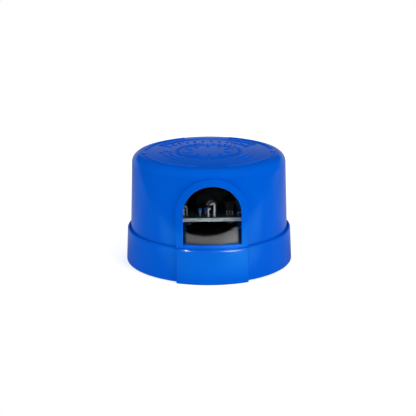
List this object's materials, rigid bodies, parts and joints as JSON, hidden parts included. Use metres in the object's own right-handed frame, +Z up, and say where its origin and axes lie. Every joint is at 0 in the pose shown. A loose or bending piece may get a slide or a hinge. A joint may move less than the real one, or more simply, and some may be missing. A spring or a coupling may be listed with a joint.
{
  "type": "photocell switch",
  "caption": "Twist-lock photocell switch: round drafted cover with an arched sensor window over a circuit board, closed by a base plate with locking blades and a foam gasket.",
  "frame": {"origin": "on the cover's axis in the plane of the skirt's rim, which is also the centre of the circle of blades", "axes": "+Z up along the cover's axis, the window faces -Y, +X to the right as seen from the window's side"},
  "size_m": [0.084, 0.0863, 0.0555],
  "materials": {
    "cover_blue": "smooth moulded blue plastic, glossy",
    "lens_clear": "clear moulded plastic",
    "base_black": "black moulded plastic, satin",
    "gasket_foam": "closed-cell foam, matt",
    "blade_brass": "stamped strip, satin",
    "plated_steel": "zinc plated",
    "tinned_lead": "tinned wire",
    "board_green": "laminate with solder resist",
    "epoxy_clear": "clear cast epoxy",
    "relay_black": "black moulded plastic",
    "film_yellow": "yellow moulded box",
    "can_sleeve": "shrunk sleeve over an aluminium can",
    "varistor_blue": "dipped epoxy, satin",
    "ceramic_blue": "dipped epoxy, glossy",
    "resistor_tan": "lacquered, with colour bands",
    "dropper_green": "lacquered, with colour bands",
    "moulded_black": "black transfer-moulded epoxy",
    "diode_glass": "glass body with a dark band"
  },
  "bodies": {
    "root": {"cover": "cover_blue", "window_lens": "lens_clear", "base_plate": "base_black", "gasket": "gasket_foam", "line_blade": "blade_brass", "load_blade": "blade_brass", "neutral_blade": "blade_brass", "blade_rivets": "plated_steel", "circuit_board": "board_green", "board_screws": "plated_steel", "sensor_body": "epoxy_clear", "sensor_leads": "tinned_lead", "relay_case": "relay_black", "relay_pins": "tinned_lead", "film_capacitor": "film_yellow", "film_capacitor_leads": "tinned_lead", "electrolytic_capacitor": "can_sleeve", "electrolytic_leads": "tinned_lead", "surge_varistor": "varistor_blue", "varistor_leads": "tinned_lead", "ceramic_capacitors": "ceramic_blue", "ceramic_capacitor_leads": "tinned_lead", "upright_resistor": "resistor_tan", "small_resistor": "resistor_tan", "dropping_resistor": "dropper_green", "resistor_leads": "tinned_lead", "rectifier_diodes": "moulded_black", "signal_diode": "diode_glass", "diode_leads": "tinned_lead", "transistor_body": "moulded_black", "transistor_leads": "tinned_lead"}
  },
  "joints": []
}
